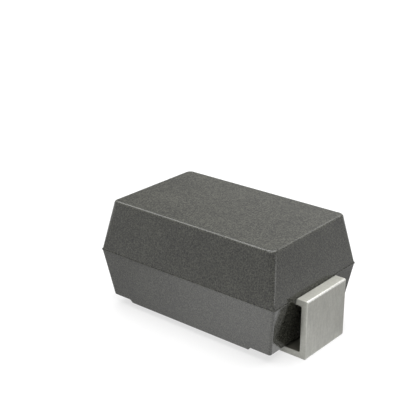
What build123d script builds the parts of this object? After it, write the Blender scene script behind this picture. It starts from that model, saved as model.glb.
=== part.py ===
from build123d import *

import os
from math import radians, tan

# Surface-mount diode in a moulded two-lead package, in millimetres.
# The origin is on the seating plane, under the middle of the body. +X runs along the
# body from the cathode to the anode, and +Z points up, away from the board.

# Package outline
body_length = 4.40  # at the parting plane
body_width = 2.80  # at the parting plane
upper_height = 1.08  # parting plane to top face
lower_height = 1.04  # parting plane to the shelves over the feet
draft_angle = 9.2  # lean of every wall, in degrees
corner_radius = 0.05  # upright corners, up to the parting plane
top_corner_radius = 0.15  # the same corners, opened out at the top face
top_edge_radius = 0.06
bottom_edge_radius = 0.025

# Parting line left by the two halves of the mould
flash_height = 0.02
flash_proud = 0.01

# Middle pad on the underside
pad_length = 3.00  # its flat face
pad_drop = 0.06  # below the shelves
pad_ramp_run = 0.06  # length of the slope at each end

# Lead strip
lead_thickness = 0.14
lead_width = 1.33
foot_length = 0.88
foot_clearance = 0.05  # foot to shelf
leg_clearance = 0.105  # leg to the body's end, at the parting plane
outer_bend_radius = 0.035
inner_bend_radius = 0.02
jog_bend_radius = 0.05
jog_inset = 0.75  # body's end to the start of the step inside the body
jog_run = 0.25  # length of the slanted step
lock_radius = 0.18  # bites in both edges of the strip that the moulding fills
lock_inset = 0.32  # body's end to the middle of the bites

# Diode chip and its two solder joints
die_size = 1.30
die_thickness = 0.26
solder_thickness = 0.03
solder_flare = 0.05  # spread of the lower joint past the chip
contact_size = 0.90  # metallised top contact

# Flat ends of the two leads that hold the chip
paddle_width = 1.60
paddle_margin = 0.20  # past the chip, towards the other lead
tongue_width = 0.96
tongue_margin = 0.05  # past the top contact

# Levels, from the seating plane up
shelf_level = lead_thickness + foot_clearance
pad_level = shelf_level - pad_drop
parting_level = shelf_level + lower_height
top_level = parting_level + upper_height

# The stack of paddle, solder, chip, solder and tongue is centred on the strip's middle,
# so the leads step by the same amount, the cathode's down and the anode's up.
jog_height = (lead_thickness + die_thickness) / 2 + solder_thickness
paddle_top = parting_level - jog_height
die_bottom = paddle_top + solder_thickness
die_top = die_bottom + die_thickness
tongue_bottom = die_top + solder_thickness

# Places along the length, for a lead that leaves at the +X end
body_end = body_length / 2
leg_inner = body_end + leg_clearance
leg_outer = leg_inner + lead_thickness
foot_end = leg_outer - foot_length
lock_place = body_end - lock_inset
jog_start = body_end - jog_inset
jog_end = jog_start - jog_run


def formed_lead(flat_top, flat_reach, flat_width):
    """One stamped and bent strip: foot, leg, entry, step, and a flat end past the middle."""
    outer_face = [
        (foot_end, 0),
        (leg_outer, 0),
        (leg_outer, parting_level),
        (jog_start, parting_level),
        (jog_end, flat_top),
        (-flat_reach, flat_top),
    ]
    bends = [
        (leg_outer, 0, outer_bend_radius),
        (leg_outer, parting_level, outer_bend_radius),
        (leg_inner, lead_thickness, inner_bend_radius),
        (leg_inner, parting_level - lead_thickness, inner_bend_radius),
        (jog_start, parting_level, jog_bend_radius),
        (jog_start, parting_level - lead_thickness, jog_bend_radius),
        (jog_end, flat_top, jog_bend_radius),
        (jog_end, flat_top - lead_thickness, jog_bend_radius),
    ]
    with BuildPart() as lead:
        with BuildSketch(Plane.XZ) as side_view:
            with BuildLine():
                Polyline(*outer_face)
                offset(amount=lead_thickness, side=Side.LEFT, kind=Kind.INTERSECTION)
            make_face()
            for x, z, radius in bends:
                fillet(side_view.vertices().sort_by_distance((x, z, 0))[0], radius)
        extrude(amount=max(flat_width, lead_width) / 2, both=True)
        with BuildSketch(Plane.XY):
            with Locations(((jog_end + leg_outer) / 2, 0)):
                Rectangle(leg_outer - jog_end, lead_width)
            with Locations(((jog_end - flat_reach) / 2, 0)):
                Rectangle(jog_end + flat_reach, flat_width)
        extrude(amount=top_level, mode=Mode.INTERSECT)
        with BuildSketch(Plane.XY.offset(parting_level)):
            with Locations((lock_place, lead_width / 2), (lock_place, -lead_width / 2)):
                Circle(lock_radius)
        extrude(amount=-lead_thickness, mode=Mode.SUBTRACT)
    return lead.part


# Cathode lead: its paddle carries the chip, and it leaves at the -X end
with BuildPart() as cathode_lead:
    add(formed_lead(paddle_top, die_size / 2 + paddle_margin, paddle_width))
    mirror(about=Plane.YZ, mode=Mode.REPLACE)

# Anode lead: its tongue reaches over the chip, and it leaves at the +X end
with BuildPart() as anode_lead:
    add(formed_lead(tongue_bottom + lead_thickness, contact_size / 2 + tongue_margin, tongue_width))

# Diode chip
with BuildPart() as diode_chip:
    with BuildSketch(Plane.XY.offset(die_bottom)):
        Rectangle(die_size, die_size)
    extrude(amount=die_thickness)

# Solder under the chip, which spreads out onto the paddle
with BuildPart() as lower_solder:
    with BuildSketch(Plane.XY.offset(paddle_top)):
        Rectangle(die_size + 2 * solder_flare, die_size + 2 * solder_flare)
    with BuildSketch(Plane.XY.offset(die_bottom)):
        Rectangle(die_size, die_size)
    loft()

# Solder between the chip's top contact and the tongue
with BuildPart() as upper_solder:
    with BuildSketch(Plane.XY.offset(die_top)):
        Rectangle(contact_size, contact_size)
    extrude(amount=solder_thickness)


def body_section(level, radius):
    """Rounded outline of the body at one level, drawn in by the draft of its walls."""
    inset = abs(level - parting_level) * tan(radians(draft_angle))
    with BuildSketch(Plane.XY.offset(level)) as section:
        RectangleRounded(body_length - 2 * inset, body_width - 2 * inset, radius)
    return section.sketch


# Moulded body: two drafted halves, the parting line, the shelves and the middle pad
with BuildPart() as moulded_body:
    parting_section = body_section(parting_level, corner_radius)
    loft([parting_section, body_section(top_level, top_corner_radius)], ruled=True)
    fillet(moulded_body.edges().group_by(Axis.Z)[-1], top_edge_radius)
    loft([body_section(pad_level, corner_radius), parting_section], ruled=True)
    fillet(moulded_body.edges().group_by(Axis.Z)[0], bottom_edge_radius)

    with BuildSketch(Plane.XZ):
        with BuildLine():
            Polyline(
                (pad_length / 2, pad_level),
                (pad_length / 2 + pad_ramp_run, shelf_level),
                (body_end, shelf_level),
                (body_end, pad_level),
                close=True,
            )
        make_face()
        mirror(about=Plane.YZ)
    extrude(amount=body_width / 2, both=True, mode=Mode.SUBTRACT)
    shelf_faces = moulded_body.faces().filter_by(Plane.XY).filter_by_position(
        Axis.Z, shelf_level, shelf_level
    )
    for shelf in shelf_faces:
        rim = shelf.edges().filter_by(lambda edge: abs(edge.center().X) > pad_length / 2 + pad_ramp_run)
        fillet(rim, bottom_edge_radius)

    with BuildSketch(Plane.XY.offset(parting_level)):
        RectangleRounded(body_length, body_width, corner_radius)
        offset(amount=flash_proud)
    extrude(amount=flash_height)

    for held in (cathode_lead, anode_lead, diode_chip, lower_solder, upper_solder):
        add(held.part, mode=Mode.SUBTRACT)

cathode_lead.part.label = "cathode_lead"
anode_lead.part.label = "anode_lead"
diode_chip.part.label = "diode_chip"
lower_solder.part.label = "lower_solder"
upper_solder.part.label = "upper_solder"
moulded_body.part.label = "moulded_body"

os.makedirs("parts", exist_ok=True)
export_step(cathode_lead.part, "parts/cathode_lead.step")
export_step(anode_lead.part, "parts/anode_lead.step")
export_step(diode_chip.part, "parts/diode_chip.step")
export_step(lower_solder.part, "parts/lower_solder.step")
export_step(upper_solder.part, "parts/upper_solder.step")
export_step(moulded_body.part, "parts/moulded_body.step")
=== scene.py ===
# %% [markdown]
# # A moulded surface-mount diode, dressed for its picture
# The diode is no longer than a grain of rice: a dark block of moulded epoxy with a folded metal lead at
# each end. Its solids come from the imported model, in metres and in their final place. This lesson gives
# them their finishes, makes the two folded leads again with the fine edges of stamped strip, and sets up
# a small light tent with a floor and a camera.

import math

import bmesh
import bpy
from mathutils import Matrix, Vector


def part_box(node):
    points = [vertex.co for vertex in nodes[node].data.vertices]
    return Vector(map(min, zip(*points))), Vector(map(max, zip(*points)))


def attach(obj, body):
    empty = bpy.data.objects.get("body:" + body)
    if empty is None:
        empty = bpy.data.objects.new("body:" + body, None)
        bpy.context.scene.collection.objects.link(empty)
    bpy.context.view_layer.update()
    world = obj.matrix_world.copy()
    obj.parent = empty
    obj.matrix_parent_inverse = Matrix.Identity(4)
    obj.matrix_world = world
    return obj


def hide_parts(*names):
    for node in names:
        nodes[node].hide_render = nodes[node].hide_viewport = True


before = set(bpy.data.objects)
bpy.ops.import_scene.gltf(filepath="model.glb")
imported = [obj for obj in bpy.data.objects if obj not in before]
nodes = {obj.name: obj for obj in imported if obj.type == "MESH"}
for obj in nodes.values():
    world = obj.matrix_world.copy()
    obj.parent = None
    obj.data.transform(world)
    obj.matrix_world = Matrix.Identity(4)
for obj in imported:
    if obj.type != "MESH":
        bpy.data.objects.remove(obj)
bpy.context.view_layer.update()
MM = 0.001
print("nodes:", sorted(nodes))

# %% [markdown]
# ## Three small helpers for node trees
# Shaders and geometry are both trees of nodes. One helper feeds a socket from either a number or another
# socket, one adds a node and sets what is plain on it, and one writes a step of arithmetic as a Math
# node. With them, a tree reads almost like a formula, and nothing has to be placed by hand in the node
# editor.


# %% Helpers for node trees
def feed(tree, socket, value):
    """Links a socket to another one, or sets its plain value."""
    if isinstance(value, bpy.types.NodeSocket):
        tree.links.new(value, socket)
    else:
        socket.default_value = value


def add_node(tree, kind, settings=None, **inputs):
    """Adds a node, sets its properties, and feeds its inputs, named with _ for a space."""
    node = tree.nodes.new(kind)
    for name, value in (settings or {}).items():
        setattr(node, name, value)
    for name, value in inputs.items():
        feed(tree, node.inputs[name.replace("_", " ")], value)
    return node


def calc(tree, operation, *values):
    """One step of arithmetic, on numbers or sockets."""
    node = tree.nodes.new("ShaderNodeMath")
    node.operation = operation
    for socket, value in zip(node.inputs, values):
        feed(tree, socket, value)
    return node.outputs[0]


print("helpers: feed, add_node and calc")

# %% [markdown]
# ## How a material is started
# Each material begins as Blender's Principled shader. Its patterns read Object coordinates, which are
# metres here and far too coarse for grain, so they are scaled to millimetres once. A noise of scale 20
# then means about twenty grains to the millimetre.


# %% Start a material
def new_material(name):
    """A material, its tree, its shader, and the place on the object in millimetres."""
    material = bpy.data.materials.new(name)
    material.use_nodes = True
    tree = material.node_tree
    shader = tree.nodes["Principled BSDF"]
    place = add_node(tree, "ShaderNodeTexCoord").outputs["Object"]
    to_mm = add_node(tree, "ShaderNodeVectorMath", {"operation": "SCALE"}, Vector=place, Scale=1 / MM)
    return material, tree, shader, to_mm.outputs["Vector"]


print("patterns are measured in units of", MM, "m")

# %% [markdown]
# ## Four moves for a pattern
# Every finish below is made of the same few moves: a noise draws the pattern, a stretch of its range
# says how strong it is, a sum mixes several patterns by their shares, and a blend turns the result into
# colour. A noise runs from 0 to 1 but keeps close to its middle. Nearly all of it lies between 0.3 and
# 0.7, so that is the part that gets stretched. A Mix node has a set of sockets for each kind of data,
# all under the same names, so its colour sockets are picked by number.

# %% Moves for a pattern
MOST_OF_NOISE = (0.3, 0.7)
WHOLE = (0.0, 1.0)
MIX_FACTOR = 0
MIX_COLOURS = (6, 7)
MIX_RESULT = 2


def noise(tree, place, scale, detail=2.0, roughness=0.5):
    """A noise from 0 to 1 with its middle at 0.5."""
    node = add_node(
        tree,
        "ShaderNodeTexNoise",
        Vector=place,
        Scale=scale,
        Detail=detail,
        Roughness=roughness,
    )
    return node.outputs["Fac"]


def stretch(tree, value, old_range, new_range):
    """Carries a value from one range over to another, and stops it at the ends."""
    node = add_node(
        tree,
        "ShaderNodeMapRange",
        Value=value,
        From_Min=old_range[0],
        From_Max=old_range[1],
        To_Min=new_range[0],
        To_Max=new_range[1],
    )
    return node.outputs["Result"]


def sum_of_shares(tree, *parts):
    """The sum of (value, share) pairs, each value times its share."""
    terms = [calc(tree, "MULTIPLY", value, share) for value, share in parts]
    total = terms[0]
    for term in terms[1:]:
        total = calc(tree, "ADD", total, term)
    return total


def blend_colours(tree, factor, first, second):
    """The first colour where the factor is 0, the second where it is 1."""
    node = add_node(tree, "ShaderNodeMix", {"data_type": "RGBA"})
    feed(tree, node.inputs[MIX_FACTOR], factor)
    for socket, colour in zip(MIX_COLOURS, (first, second)):
        feed(tree, node.inputs[socket], colour)
    return node.outputs[MIX_RESULT]


print("noise is stretched from", MOST_OF_NOISE)

# %% [markdown]
# ## The mould compound
# The body is epoxy filled with fine silica sand and a little soot, pressed into a steel mould. Seen
# close up it is a warm dark grey with pale and dark grains a few hundredths of a millimetre across, soft
# clouds where the filler settled, and a satin skin that mirrors what lies close to it. A narrow part of
# the noise makes the tones, so the grain has contrast. The largest grains show as faint pale specks, the
# cores of about a third of a Voronoi pattern's cells, drawn by lot. A picture could be wrapped round the
# block, but it would stretch over the draft. Solid noise has no seams: the grain runs through every
# wall.

# %% Mould compound
GRAINS_PER_MM = 34.0
SETTLED_CLOUDS_PER_MM = 1.4
SPECK_CELLS_PER_MM = 13.0
SPECK_LOTS = (0.62, 0.72)
SPECK_CORES = (0.12, 0.34)
SPECK_STRENGTH = 0.22
EPOXY_TONES = (0.375, 0.625)
EPOXY_ROUGHNESS = (0.05, 0.12)
GRAIN_HEIGHT = 0.0016 * MM


def make_mould_compound():
    """Filled epoxy with fine grain, faint specks and a satin skin."""
    material, tree, shader, place = new_material("mould compound")
    grain = noise(tree, place, GRAINS_PER_MM, detail=2.0, roughness=0.65)
    clouds = noise(tree, place, SETTLED_CLOUDS_PER_MM, detail=3.0, roughness=0.55)
    cells = add_node(tree, "ShaderNodeTexVoronoi", Vector=place, Scale=SPECK_CELLS_PER_MM)
    lot = add_node(tree, "ShaderNodeSeparateColor", Color=cells.outputs["Color"]).outputs["Red"]
    chosen = stretch(tree, lot, SPECK_LOTS, WHOLE)
    core = stretch(tree, cells.outputs["Distance"], SPECK_CORES, (1.0, 0.0))
    specks = calc(tree, "MULTIPLY", chosen, core)

    sooty = (0.012, 0.0121, 0.0098, 1)
    sandy = (0.09, 0.0906, 0.072, 1)
    speck = (0.13, 0.13, 0.11, 1)
    mixed = sum_of_shares(tree, (grain, 0.87), (clouds, 0.13))
    epoxy = blend_colours(tree, stretch(tree, mixed, EPOXY_TONES, WHOLE), sooty, sandy)
    faint_specks = calc(tree, "MULTIPLY", specks, SPECK_STRENGTH)
    feed(tree, shader.inputs["Base Color"], blend_colours(tree, faint_specks, epoxy, speck))

    skin = sum_of_shares(tree, (clouds, 0.6), (grain, 0.4))
    feed(tree, shader.inputs["Roughness"], stretch(tree, skin, MOST_OF_NOISE, EPOXY_ROUGHNESS))
    shader.inputs["IOR"].default_value = 1.5

    relief = add_node(tree, "ShaderNodeBump", Height=grain, Strength=0.5, Distance=GRAIN_HEIGHT)
    feed(tree, shader.inputs["Normal"], relief.outputs["Normal"])
    return material


mould_compound = make_mould_compound()
nodes["moulded_body"].data.materials.clear()
nodes["moulded_body"].data.materials.append(mould_compound)
print("mould compound:", len(mould_compound.node_tree.nodes), "nodes")

# %% [markdown]
# ## The tin plating
# Matte tin is a pale, slightly warm metal with a dull skin of tiny crystals. The strip was rolled before
# it was stamped, so faint streaks run along it, and they turn the corner with the fold. A noise makes
# them if it changes fast across the strip, along Y, and slowly along it. A shader that is all metal
# would mirror the dark wall behind the lead's top and go black there, so less than a tenth is metal here
# and the rest scatters the light, as the crystals do.
#
# Two things break the even grey. Every outer edge and fold has a smoother, more metallic skin and a
# painted highlight: a paler colour that stands in for the bright line light draws along it. The foot's
# upper side, tucked in under the body, has painted shade: a dark colour that stands in for the body's
# shade and the dark wall mirrored in the tin there. Colour can't know where those places are, so the
# mesh says so: each face carries one number for the edges and one for the foot.

# %% Tin plating
STREAKS_PER_MM = (4.0, 28.0, 4.0)
CRYSTALS_PER_MM = 26.0
TIN_CLOUDS_PER_MM = 2.2
TIN_ROUGHNESS = (0.3, 0.42)
RUBBED_SMOOTHER = 0.1
METAL_PLAIN_AND_RUBBED = (0.08, 0.2)
CRYSTAL_HEIGHT = 0.0015 * MM


def make_tin_plating():
    """Matte tin with rolling streaks, painted highlights on the edges and painted shade on the foot."""
    material, tree, shader, place = new_material("tin plating")
    stretched = add_node(tree, "ShaderNodeVectorMath", {"operation": "MULTIPLY"}, Vector=place)
    stretched.inputs[1].default_value = STREAKS_PER_MM
    streaks = noise(tree, stretched.outputs["Vector"], 1.0, detail=3.0, roughness=0.6)
    crystals = noise(tree, place, CRYSTALS_PER_MM, detail=2.0, roughness=0.6)
    clouds = noise(tree, place, TIN_CLOUDS_PER_MM, detail=2.0, roughness=0.5)

    dull = (0.415, 0.413, 0.37, 1)
    bright = (0.655, 0.653, 0.597, 1)
    # Painted shade: a dark colour for the foot's upper side, where the body shades it.
    painted_shade = (0.13, 0.127, 0.105, 1)
    # Painted highlight: a paler colour for the edges and outer folds, which also get a smoother, more
    # metallic skin.
    rubbed_and_highlit = (0.84, 0.837, 0.79, 1)
    tone = sum_of_shares(tree, (streaks, 0.4), (crystals, 0.35), (clouds, 0.25))
    plating = blend_colours(tree, stretch(tree, tone, MOST_OF_NOISE, WHOLE), dull, bright)
    # The painted shade on the foot comes from a number that the mesh carries.
    shade_mask = add_node(tree, "ShaderNodeAttribute", {"attribute_name": "shaded_under_body"}).outputs["Fac"]
    plating = blend_colours(tree, shade_mask, plating, painted_shade)
    # The edge number carries both the painted highlight in the colour and the smoother, more metallic
    # skin.
    rub_and_highlight = add_node(tree, "ShaderNodeAttribute", {"attribute_name": "rubbed_and_highlit"}).outputs["Fac"]
    feed(tree, shader.inputs["Base Color"], blend_colours(tree, rub_and_highlight, plating, rubbed_and_highlit))

    skin = stretch(tree, crystals, MOST_OF_NOISE, TIN_ROUGHNESS)
    smoother = calc(tree, "MULTIPLY", rub_and_highlight, RUBBED_SMOOTHER)
    feed(tree, shader.inputs["Roughness"], calc(tree, "SUBTRACT", skin, smoother))
    feed(tree, shader.inputs["Metallic"], stretch(tree, rub_and_highlight, WHOLE, METAL_PLAIN_AND_RUBBED))

    height = calc(tree, "MULTIPLY", tone, calc(tree, "SUBTRACT", 1.0, rub_and_highlight))
    relief = add_node(tree, "ShaderNodeBump", Height=height, Strength=0.3, Distance=CRYSTAL_HEIGHT)
    feed(tree, shader.inputs["Normal"], relief.outputs["Normal"])
    return material


tin_plating = make_tin_plating()
print("tin plating:", len(tin_plating.node_tree.nodes), "nodes")

# %% [markdown]
# ## The silicon chip
# The chip and its solder are sealed inside the body and never show in the picture, but the model can be
# taken apart, so they are finished too. The chip is silicon, blue-grey and sawn from a wafer, with fine
# saw lines round its sides. A noise that reads nothing but the height draws such lines.

# %% Silicon
SAW_LINES_PER_MM = 60.0
SILICON_TINTS_PER_MM = 5.0
SILICON_ROUGHNESS = (0.18, 0.4)


def make_silicon():
    """Sawn silicon, blue-grey and half metallic."""
    material, tree, shader, place = new_material("silicon")
    height = add_node(tree, "ShaderNodeSeparateXYZ", Vector=place).outputs["Z"]
    height_alone = add_node(tree, "ShaderNodeCombineXYZ", Z=height).outputs["Vector"]
    lines = noise(tree, height_alone, SAW_LINES_PER_MM, detail=1.0)
    tint = noise(tree, place, SILICON_TINTS_PER_MM, detail=2.0)
    deep = (0.05, 0.055, 0.075, 1)
    pale = (0.12, 0.125, 0.15, 1)
    feed(tree, shader.inputs["Base Color"], blend_colours(tree, tint, deep, pale))
    feed(tree, shader.inputs["Roughness"], stretch(tree, lines, MOST_OF_NOISE, SILICON_ROUGHNESS))
    shader.inputs["Metallic"].default_value = 0.5
    return material


silicon = make_silicon()
print("silicon:", len(silicon.node_tree.nodes), "nodes")

# %% [markdown]
# ## The solder
# Solder is all metal, and it cools from its outside in. That leaves a dull grey surface with a frosted
# grain, here one noise that sets both the grey and how sharply it shines.

# %% Solder
FROST_PER_MM = 18.0
SOLDER_ROUGHNESS = (0.3, 0.55)


def make_solder():
    """Dull solder with a frosted grain."""
    material, tree, shader, place = new_material("solder")
    frost = noise(tree, place, FROST_PER_MM, detail=3.0, roughness=0.6)
    dull = (0.42, 0.42, 0.43, 1)
    bright = (0.62, 0.62, 0.63, 1)
    feed(tree, shader.inputs["Base Color"], blend_colours(tree, frost, dull, bright))
    feed(tree, shader.inputs["Roughness"], stretch(tree, frost, MOST_OF_NOISE, SOLDER_ROUGHNESS))
    shader.inputs["Metallic"].default_value = 1.0
    return material


solder = make_solder()
for name, finish in (("diode_chip", silicon), ("lower_solder", solder), ("upper_solder", solder)):
    nodes[name].data.materials.clear()
    nodes[name].data.materials.append(finish)
print("inner pieces:", silicon.name, "and", solder.name)

# %% [markdown]
# ## The folded leads, as a rule
# Both leads are blanks of the same strip, stamped to a plan and then folded: foot, leg, entry, a step
# inside the body, and a flat end that holds the chip. Only the flat end differs. They could be two
# meshes made by hand, but they follow one rule, so one Geometry Nodes tree makes both from named sizes
# in millimetres: it draws the side view as twelve corners, rounds each by its own bend radius, fills and
# extrudes it, and then stamps it with the plan. The first cell holds the sizes of the strip. What the
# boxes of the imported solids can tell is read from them, and the rest is written out.

# %% Sizes of the strip, in millimetres
strip = {
    "Thickness": 0.14,
    "Width": 2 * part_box("anode_lead")[1].y / MM,
    "Leg Outer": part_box("anode_lead")[1].x / MM,
    "Entry Level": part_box("cathode_lead")[1].z / MM,
    "Foot Length": 0.88,
    "Step Start": 1.45,
    "Step End": 1.20,
    "Outer Bend": 0.035,
    "Inner Bend": 0.02,
    "Step Bend": 0.05,
    "Bite Place": 1.88,
    "Bite Radius": 0.18,
}
anode_end = {
    "Flat Level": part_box("anode_lead")[1].z / MM,
    "Flat Reach": -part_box("anode_lead")[0].x / MM,
    "Flat Width": 0.96,
    "Turn": 0.0,
}
cathode_end = {
    "Flat Level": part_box("lower_solder")[0].z / MM,
    "Flat Reach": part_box("cathode_lead")[1].x / MM,
    "Flat Width": 2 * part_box("cathode_lead")[1].y / MM,
    "Turn": math.pi,
}
for name, value in {**strip, **anode_end}.items():
    print(f"{name}: {value:.3f}")

# %% [markdown]
# ## Start the tree
# Every size becomes a named input, so the same tree can be used again on another strip. The modifier
# knows an input by its identifier and not by its name, so the identifiers are kept in a table.

# %% Start the tree of the folded lead
lead_tree = bpy.data.node_groups.new("folded lead", "GeometryNodeTree")
lead_tree.is_modifier = True
lead_tree.interface.new_socket("Lead", in_out="OUTPUT", socket_type="NodeSocketGeometry")
lead_inputs = {}
for name in (*strip, *anode_end):
    socket = lead_tree.interface.new_socket(name, in_out="INPUT", socket_type="NodeSocketFloat")
    lead_inputs[name] = socket.identifier
given = add_node(lead_tree, "NodeGroupInput").outputs
print("inputs:", len(lead_inputs))

# %% [markdown]
# ## From corners to an outline
# A closed outline needs its corners in order and a radius at each. A mesh line of as many points is bent
# into that outline by an Index Switch, which hands each point its own corner. The line becomes a curve,
# the curve is closed, and each corner is rounded in a few steps.

# %% Outline
STEPS_ROUND_A_BEND = 7


def outline(tree, corners):
    """A closed curve through (x, y, radius) corners."""
    index = add_node(tree, "GeometryNodeInputIndex").outputs["Index"]
    places = add_node(tree, "GeometryNodeIndexSwitch", {"data_type": "VECTOR"}, Index=index)
    radii = add_node(tree, "GeometryNodeIndexSwitch", {"data_type": "FLOAT"}, Index=index)
    for switch in (places, radii):
        while len(switch.index_switch_items) < len(corners):
            switch.index_switch_items.new()
    for number, (x, y, radius) in enumerate(corners):
        corner = add_node(tree, "ShaderNodeCombineXYZ", X=x, Y=y)
        feed(tree, places.inputs[str(number)], corner.outputs["Vector"])
        feed(tree, radii.inputs[str(number)], radius)
    line = add_node(tree, "GeometryNodeMeshLine", Count=len(corners)).outputs["Mesh"]
    bent = add_node(tree, "GeometryNodeSetPosition", Geometry=line, Position=places.outputs[0])
    curve = add_node(tree, "GeometryNodeMeshToCurve", Mesh=bent.outputs["Geometry"]).outputs["Curve"]
    closed = add_node(tree, "GeometryNodeSetSplineCyclic", Geometry=curve, Cyclic=True)
    rounded = add_node(
        tree,
        "GeometryNodeFilletCurve",
        {"mode": "POLY"},
        Curve=closed.outputs["Geometry"],
        Count=STEPS_ROUND_A_BEND,
        Radius=radii.outputs[0],
    )
    return rounded.outputs["Curve"]


print("each bend is rounded in", STEPS_ROUND_A_BEND, "steps")

# %% [markdown]
# ## From an outline to a slab
# Fill Curve works in the XY plane, so every outline is drawn flat and stood up afterwards if need be.
# Extruding moves the filled face away and leaves the slab open behind it, so a flipped copy of the face
# closes the other side, and the two are welded into one solid.

# %% Slab
WELD_REACH = 0.0001


def slab(tree, curve, low, high):
    """The filled outline as a closed solid, from one level to another."""
    face = add_node(tree, "GeometryNodeFillCurve", {"mode": "NGONS"}, Curve=curve).outputs["Mesh"]
    start = add_node(tree, "ShaderNodeCombineXYZ", Z=low).outputs["Vector"]
    moved = add_node(tree, "GeometryNodeTransform", Geometry=face, Translation=start)
    lowered = moved.outputs["Geometry"]
    height = calc(tree, "SUBTRACT", high, low)
    push = add_node(tree, "ShaderNodeCombineXYZ", Z=height).outputs["Vector"]
    raised = add_node(tree, "GeometryNodeExtrudeMesh", Mesh=lowered, Offset=push, Individual=False)
    base = add_node(tree, "GeometryNodeFlipFaces", Mesh=lowered)
    joined = add_node(tree, "GeometryNodeJoinGeometry")
    for part in (base, raised):
        tree.links.new(part.outputs["Mesh"], joined.inputs["Geometry"])
    both = joined.outputs["Geometry"]
    welded = add_node(tree, "GeometryNodeMergeByDistance", Geometry=both, Distance=WELD_REACH)
    return welded.outputs["Geometry"]


print("points nearer than", WELD_REACH, "mm are welded")

# %% [markdown]
# ## The side view
# The outer face runs foot, leg, entry, step, flat end. The inner face is the same line moved in by the
# thickness. Round a slanted step that moves its two corners along by the thickness times the tangent of
# half the turn, so that the strip keeps its thickness on the slope. The slab is made wider than the
# strip, and the plan then cuts it to its true width.

# %% Side view of the lead
SPARE = 0.5
UPRIGHT = (math.pi / 2, 0, 0)

thickness = given["Thickness"]
leg_inner = calc(lead_tree, "SUBTRACT", given["Leg Outer"], thickness)
foot_end = calc(lead_tree, "SUBTRACT", given["Leg Outer"], given["Foot Length"])
flat_end = calc(lead_tree, "MULTIPLY", given["Flat Reach"], -1.0)
entry_under = calc(lead_tree, "SUBTRACT", given["Entry Level"], thickness)
flat_under = calc(lead_tree, "SUBTRACT", given["Flat Level"], thickness)
fall = calc(lead_tree, "SUBTRACT", given["Entry Level"], given["Flat Level"])
run = calc(lead_tree, "SUBTRACT", given["Step Start"], given["Step End"])
half_turn = calc(lead_tree, "MULTIPLY", calc(lead_tree, "ARCTAN2", fall, run), 0.5)
shift = calc(lead_tree, "MULTIPLY", thickness, calc(lead_tree, "TANGENT", half_turn))
start_under = calc(lead_tree, "ADD", given["Step Start"], shift)
end_under = calc(lead_tree, "ADD", given["Step End"], shift)

side_corners = [
    (foot_end, 0.0, 0.0),
    (given["Leg Outer"], 0.0, given["Outer Bend"]),
    (given["Leg Outer"], given["Entry Level"], given["Outer Bend"]),
    (given["Step Start"], given["Entry Level"], given["Step Bend"]),
    (given["Step End"], given["Flat Level"], given["Step Bend"]),
    (flat_end, given["Flat Level"], 0.0),
    (flat_end, flat_under, 0.0),
    (end_under, flat_under, given["Step Bend"]),
    (start_under, entry_under, given["Step Bend"]),
    (leg_inner, entry_under, given["Inner Bend"]),
    (leg_inner, thickness, given["Inner Bend"]),
    (foot_end, thickness, 0.0),
]
widest = calc(lead_tree, "MAXIMUM", given["Width"], given["Flat Width"])
side_half = calc(lead_tree, "ADD", widest, SPARE)
side_back = calc(lead_tree, "MULTIPLY", side_half, -1.0)
flat_side = slab(lead_tree, outline(lead_tree, side_corners), side_back, side_half)
side_solid = add_node(lead_tree, "GeometryNodeTransform", Geometry=flat_side, Rotation=UPRIGHT)
print("corners in the side view:", len(side_corners))

# %% [markdown]
# ## The plan
# In the plan the strip keeps its width as far as the step, and then widens into the chip's paddle or
# narrows into the tongue. The stamped shape is what the side view and the plan have in common, so a Mesh
# Boolean keeps only that.

# %% Plan of the lead
half_width = calc(lead_tree, "DIVIDE", given["Width"], 2.0)
half_flat = calc(lead_tree, "DIVIDE", given["Flat Width"], 2.0)
minus_width = calc(lead_tree, "MULTIPLY", half_width, -1.0)
minus_flat = calc(lead_tree, "MULTIPLY", half_flat, -1.0)
past_leg = calc(lead_tree, "ADD", given["Leg Outer"], SPARE)
past_flat = calc(lead_tree, "SUBTRACT", flat_end, SPARE)
plan_corners = [
    (past_leg, minus_width, 0.0),
    (past_leg, half_width, 0.0),
    (given["Step End"], half_width, 0.0),
    (given["Step End"], half_flat, 0.0),
    (past_flat, half_flat, 0.0),
    (past_flat, minus_flat, 0.0),
    (given["Step End"], minus_flat, 0.0),
    (given["Step End"], minus_width, 0.0),
]
highest = calc(lead_tree, "MAXIMUM", given["Entry Level"], given["Flat Level"])
above = calc(lead_tree, "ADD", highest, SPARE)
plan_solid = slab(lead_tree, outline(lead_tree, plan_corners), -SPARE, above)
in_common = {"operation": "INTERSECT", "solver": "EXACT"}
stamped = add_node(lead_tree, "GeometryNodeMeshBoolean", in_common)
lead_tree.links.new(side_solid.outputs["Geometry"], stamped.inputs["Mesh 2"])
lead_tree.links.new(plan_solid, stamped.inputs["Mesh 2"])
print("corners in the plan:", len(plan_corners))

# %% [markdown]
# ## The bites
# Two round bites in the edges of the entry, which the moulding fills so that the lead can't pull out,
# are cut last. Each cutter is a cylinder centred on the strip's upper face and twice as deep as the
# strip is thick, so it reaches just down to the underside.

# %% Bites in the edges
SIDES_OF_A_BITE = 48

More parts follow.
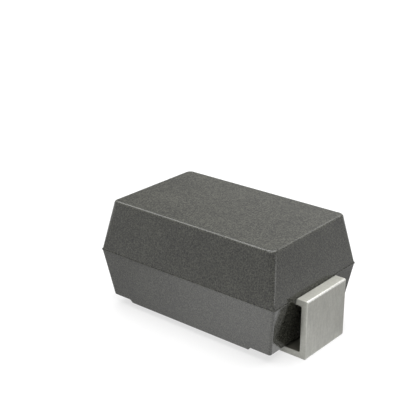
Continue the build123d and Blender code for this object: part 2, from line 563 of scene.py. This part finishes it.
bite = add_node(
    lead_tree,
    "GeometryNodeMeshCylinder",
    {"fill_type": "NGON"},
    Vertices=SIDES_OF_A_BITE,
    Radius=given["Bite Radius"],
    Depth=calc(lead_tree, "MULTIPLY", thickness, 2.0),
)
cut_away = {"operation": "DIFFERENCE", "solver": "EXACT"}
bitten = add_node(lead_tree, "GeometryNodeMeshBoolean", cut_away)
lead_tree.links.new(stamped.outputs["Mesh"], bitten.inputs["Mesh 1"])
for edge in (half_width, minus_width):
    spot = add_node(
        lead_tree,
        "ShaderNodeCombineXYZ",
        X=given["Bite Place"],
        Y=edge,
        Z=given["Entry Level"],
    )
    placed = add_node(
        lead_tree,
        "GeometryNodeTransform",
        Geometry=bite.outputs["Mesh"],
        Translation=spot.outputs["Vector"],
    )
    lead_tree.links.new(placed.outputs["Geometry"], bitten.inputs["Mesh 2"])
print("bites have", SIDES_OF_A_BITE, "sides")

# %% [markdown]
# ## Finish the tree
# The cathode's lead leaves at the other end. It is the same shape turned half round about the upright
# axis, and a turn keeps the faces outward where a mirror would not. Realize Instances and Set Material
# end the tree, so that what leaves it is plain mesh in its finish.

# %% End of the tree
turn = add_node(lead_tree, "ShaderNodeCombineXYZ", Z=given["Turn"]).outputs["Vector"]
turned = add_node(lead_tree, "GeometryNodeTransform", Geometry=bitten.outputs["Mesh"], Rotation=turn)
real = add_node(lead_tree, "GeometryNodeRealizeInstances", Geometry=turned.outputs["Geometry"])
dressed = add_node(
    lead_tree,
    "GeometryNodeSetMaterial",
    Geometry=real.outputs["Geometry"],
    Material=tin_plating,
)
lead_end = add_node(lead_tree, "NodeGroupOutput")
lead_tree.links.new(dressed.outputs["Geometry"], lead_end.inputs["Lead"])
print("nodes in the tree:", len(lead_tree.nodes))

# %% [markdown]
# ## Run the tree
# A fresh object gets the tree as a modifier, and a Bevel after it, because a press leaves every edge of
# the strip very slightly rounded, and that rounding is what draws a bright line along a metal edge. The
# result is copied out as a plain mesh and scaled from millimetres to metres.

# %% Fold a lead
PRESSED_EDGE = 0.015
STEPS_ROUND_AN_EDGE = 3
SHARP_EDGE = math.radians(40)
ROWS_OF_A_MATRIX = 4


def fold_lead(name, sizes):
    """The plain mesh of one lead, in metres."""
    maker = bpy.data.objects.new("lead maker", bpy.data.meshes.new("empty"))
    bpy.context.scene.collection.objects.link(maker)
    nodes_step = maker.modifiers.new("folded lead", "NODES")
    nodes_step.node_group = lead_tree
    for label, value in sizes.items():
        nodes_step[lead_inputs[label]] = float(value)
    edge_step = maker.modifiers.new("pressed edges", "BEVEL")
    edge_step.width = PRESSED_EDGE
    edge_step.segments = STEPS_ROUND_AN_EDGE
    edge_step.limit_method = "ANGLE"
    edge_step.angle_limit = SHARP_EDGE
    edge_step.use_clamp_overlap = False
    ready = maker.evaluated_get(bpy.context.evaluated_depsgraph_get())
    mesh = bpy.data.meshes.new_from_object(ready)
    mesh.name = name
    bpy.data.objects.remove(maker)
    mesh.transform(Matrix.Scale(MM, ROWS_OF_A_MATRIX))
    return mesh


print("edges rounded over", PRESSED_EDGE, "mm")

# %% [markdown]
# ## Mark the faces for painted highlight and painted shade
# The rounded edges and the outer folds are made of narrow faces that bulge outward. They get the
# smoother, more metallic skin and the painted highlight: a fold the full number, a cut edge a fifth of
# it. A fold runs straight across the strip, so its faces hardly lean along Y, and that tells the two
# apart. The painted shade lies on what looks up at the level of the foot, under the body. The same pass
# turns all faces outward and measures the mesh.

# %% Mark the faces
NARROW = 0.016 * MM
FLAT_ANGLE = 0.001
FOLD_LEAN = 0.1
CUT_SHINE = 0.2
LOOKS_UP = 0.7
FOOT_LEVEL = 0.2 * MM


def mark_faces(mesh):
    """Writes the two numbers of each face for the tin plating."""
    work = bmesh.new()
    work.from_mesh(mesh)
    bmesh.ops.recalc_face_normals(work, faces=work.faces)
    open_edges = sum(not edge.is_manifold for edge in work.edges)
    volume = work.calc_volume() / MM**3
    rubbed_and_highlit = []
    shaded_under_body = []
    for face in work.faces:
        width = face.calc_area() / max(edge.calc_length() for edge in face.edges)
        bulges = all(edge.is_convex or edge.calc_face_angle() < FLAT_ANGLE for edge in face.edges)
        # Edges and folds get the painted highlight and the smoother skin, a fold fully and a cut edge a
        # fifth.
        shine = 1.0 if abs(face.normal.y) < FOLD_LEAN else CUT_SHINE
        rubbed_and_highlit.append(shine * (width < NARROW and bulges))
        # Painted shade goes on the faces that look up at the foot's level, under the body.
        on_foot = face.normal.z > LOOKS_UP and face.calc_center_median().z < FOOT_LEVEL
        shaded_under_body.append(float(on_foot and not rubbed_and_highlit[-1]))
    work.to_mesh(mesh)
    work.free()
    mesh.attributes.new("rubbed_and_highlit", "FLOAT", "FACE").data.foreach_set("value", rubbed_and_highlit)
    mesh.attributes.new("shaded_under_body", "FLOAT", "FACE").data.foreach_set("value", shaded_under_body)
    print(mesh.name, len(mesh.polygons), "faces,", open_edges, "open edges,", round(volume, 4), "mm3")
    print("burnished:", sum(value > 0 for value in rubbed_and_highlit), "and stained:", int(sum(shaded_under_body)))


print("a cut edge shines", CUT_SHINE, "as much as a fold")

# %% [markdown]
# ## Put the leads in place
# Smooth shading would bend the light over the flat faces too, because each corner's normal is an
# average. The Weighted Normal modifier lets the large faces decide, so only the rounded edges and bends
# look round. Each lead then rides on the frame, and the imported solid that it stands in for is hidden.

# %% The two leads
LARGE_FACES_DECIDE = 100


def make_lead(name, sizes):
    """One finished lead as an object of its own."""
    mesh = fold_lead(name, sizes)
    mark_faces(mesh)
    mesh.shade_smooth()
    piece = bpy.data.objects.new(name, mesh)
    bpy.context.scene.collection.objects.link(piece)
    flat_step = piece.modifiers.new("flat faces stay flat", "WEIGHTED_NORMAL")
    flat_step.weight = LARGE_FACES_DECIDE
    ready = piece.evaluated_get(bpy.context.evaluated_depsgraph_get())
    finished = bpy.data.meshes.new_from_object(ready)
    piece.modifiers.clear()
    piece.data = finished
    return piece


for name, own_end in (("anode_lead", anode_end), ("cathode_lead", cathode_end)):
    lead = make_lead("folded_" + name, {**strip, **own_end})
    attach(lead, "root")
    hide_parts(name)

# %% [markdown]
# ## The floor
# The diode stands on a plain board. The board is a real surface, so the diode's soft shadow falls on it
# and its light comes back up under the drafted walls. It is painted a plain grey: a white one would
# throw so much light up that the lower walls would lose their dark. The next step makes it look white
# all the same.

# %% Floor
FLOOR_HALF = 80 * MM
PAPER_CLOUDS_PER_MM = 0.6
darker_grey = (0.33, 0.33, 0.33, 1)
lighter_grey = (0.37, 0.37, 0.37, 1)

floor_corners = [(x * FLOOR_HALF, y * FLOOR_HALF, 0) for x, y in ((-1, -1), (1, -1), (1, 1), (-1, 1))]
floor_mesh = bpy.data.meshes.new("floor")
floor_mesh.from_pydata(floor_corners, [], [range(len(floor_corners))])
floor = bpy.data.objects.new("floor", floor_mesh)
bpy.context.scene.collection.objects.link(floor)
board, board_tree, board_shader, board_place = new_material("board")
paper = noise(board_tree, board_place, PAPER_CLOUDS_PER_MM, detail=2.0)
board_tone = blend_colours(board_tree, paper, darker_grey, lighter_grey)
feed(board_tree, board_shader.inputs["Base Color"], board_tone)
board_shader.inputs["Roughness"].default_value = 0.9
floor_mesh.materials.append(board)
print("floor:", round(2 * FLOOR_HALF / MM), "mm square")

# %% [markdown]
# ## What the camera and the mirrors see of the floor
# A glow that only camera rays meet lifts the grey board to white in the picture and adds no light to the
# diode. The diode's satin skin and its edges work as faint mirrors, and they meet a glow of their own.
# It is stronger over two patches, like the white cards a photographer lays beside a small shiny thing:
# one shows in the long lower wall, the other in the upright edge. Two more patches take some of the glow
# away, as a grey and a black card would, and keep the end wall dim above and behind the lead. Each card
# has its middle in millimetres, the radius out to which it is full, the radius where it ends, and the
# glow that it adds.

# %% Glow and cards
CAMERA_GLOW = 0.68
MIRROR_GLOW = 0.61
cards = {
    "white for the long wall": ((1.8, -3.4, 0.0), (1.6, 4.6), 1.1),
    "white for the upright edge": ((24.0, -8.0, 0.0), (11.0, 18.0), 2.7),
    "grey for the upper end wall": ((10.0, 8.5, 0.0), (4.0, 9.0), -0.2),
    "black for the lower end wall": ((2.6, 2.1, 0.0), (0.7, 1.5), -0.5),
}
rays = add_node(board_tree, "ShaderNodeLightPath").outputs
card_glow = MIRROR_GLOW
for middle, radii, strength in cards.values():
    away = add_node(board_tree, "ShaderNodeVectorMath", {"operation": "DISTANCE"}, Vector=board_place)
    away.inputs[1].default_value = middle
    one_card = stretch(board_tree, away.outputs["Value"], radii, (strength, 0.0))
    card_glow = calc(board_tree, "ADD", card_glow, one_card)
in_mirrors = calc(board_tree, "MULTIPLY", rays["Is Glossy Ray"], card_glow)
looked_at = calc(board_tree, "MAXIMUM", rays["Is Camera Ray"], rays["Is Transmission Ray"])
in_picture = calc(board_tree, "MULTIPLY", looked_at, CAMERA_GLOW)
board_glow = calc(board_tree, "MAXIMUM", in_picture, in_mirrors)
board_shader.inputs["Emission Color"].default_value = (1, 1, 1, 1)
feed(board_tree, board_shader.inputs["Emission Strength"], board_glow)
print("cards:", ", ".join(cards))

# %% [markdown]
# ## The light tent
# Small shiny things are photographed in a tent of white cloth. The world is that cloth: white to the
# camera and in the diode's faint mirrors, but hardly a light of its own. The cloth has a dim place at
# the back left, the part that the diode's top shows to this camera.

# %% World
DIM_PLACE = (-0.75, 0.6, 0.3)
DIM_REACH = (0.0, 0.55)
DIM_TO_WHITE = (0.19, 1.0)
SPILL = 0.04

world = bpy.data.worlds.new("light tent")
bpy.context.scene.world = world
world.use_nodes = True
tent = world.node_tree
cloth = tent.nodes["Background"]
cloth.inputs["Color"].default_value = (1, 1, 1, 1)
ray = add_node(tent, "ShaderNodeLightPath").outputs
direction = add_node(tent, "ShaderNodeTexCoord").outputs["Generated"]
from_dim_place = add_node(tent, "ShaderNodeVectorMath", {"operation": "DISTANCE"}, Vector=direction)
from_dim_place.inputs[1].default_value = DIM_PLACE
mirrored = stretch(tent, from_dim_place.outputs["Value"], DIM_REACH, DIM_TO_WHITE)
glow = calc(tent, "ADD", calc(tent, "MULTIPLY", ray["Is Glossy Ray"], mirrored), SPILL)
seen = calc(tent, "MAXIMUM", ray["Is Camera Ray"], ray["Is Transmission Ray"])
feed(tent, cloth.inputs["Strength"], calc(tent, "MAXIMUM", seen, glow))
print("tent nodes:", len(tent.nodes))

# %% [markdown]
# ## The softboxes
# Five wide lamps do the lighting. The largest hangs overhead, for the top and the folds of the leads.
# The four round the sides are weaker, and each gives the walls that face it their own grey. A wide lamp
# makes soft shadows, and it never shows as a hot spot in a satin surface. Each has its place and its
# size in millimetres, and its radiance, at which 1 looks white.

# %% Softboxes
softboxes = {
    "overhead softbox": ((0, 0, 240), 320, 2.9),
    "back softbox": ((0, 140, 200), 130, 1.7),
    "left softbox": ((-150, 70, 190), 100, 2.2),
    "right softbox": ((110, 60, 200), 100, 0.9),
    "front softbox": ((10, -220, 110), 220, 0.6),
}


def add_softbox(name, place, size, radiance):
    """A square lamp that faces the diode, as bright to look at as a white of that radiance."""
    lamp = bpy.data.lights.new(name, "AREA")
    lamp.shape = "SQUARE"
    lamp.size = size
    lamp.energy = radiance * math.pi * size**2
    box = bpy.data.objects.new(name, lamp)
    box.location = place
    box.rotation_mode = "QUATERNION"
    box.rotation_quaternion = (-place).to_track_quat("-Z", "Y")
    bpy.context.scene.collection.objects.link(box)
    print(name, "at", round(place.length / MM), "mm, power", round(lamp.energy, 4), "W")


for name, (place, size, radiance) in softboxes.items():
    add_softbox(name, Vector(place) * MM, size * MM, radiance)

# %% [markdown]
# ## The camera
# The photograph looks down on the diode from in front and to the right. Its place and lens were worked
# out from the straight edges of the body, so they are numbers here. So close to a thing this small, the
# near clip has to come down to a millimetre.

# %% Camera
CAMERA_PLACE = Vector((11.126, -14.174, 9.426)) * MM
CAMERA_AIM = Vector((-0.703, 0.0, 2.282)) * MM
SENSOR_WIDTH = 36
FOCAL_LENGTH = 86.87

camera_data = bpy.data.cameras.new("camera")
camera_data.sensor_width = SENSOR_WIDTH
camera_data.lens = FOCAL_LENGTH
camera_data.clip_start = 1 * MM
camera_data.clip_end = 1000 * MM
camera = bpy.data.objects.new("camera", camera_data)
camera.location = CAMERA_PLACE
camera.rotation_mode = "QUATERNION"
camera.rotation_quaternion = (CAMERA_AIM - CAMERA_PLACE).to_track_quat("-Z", "Y")
bpy.context.scene.collection.objects.link(camera)
bpy.context.scene.camera = camera
bpy.context.scene.view_settings.view_transform = "Standard"
print("camera to diode:", round((CAMERA_AIM - CAMERA_PLACE).length / MM, 1), "mm")
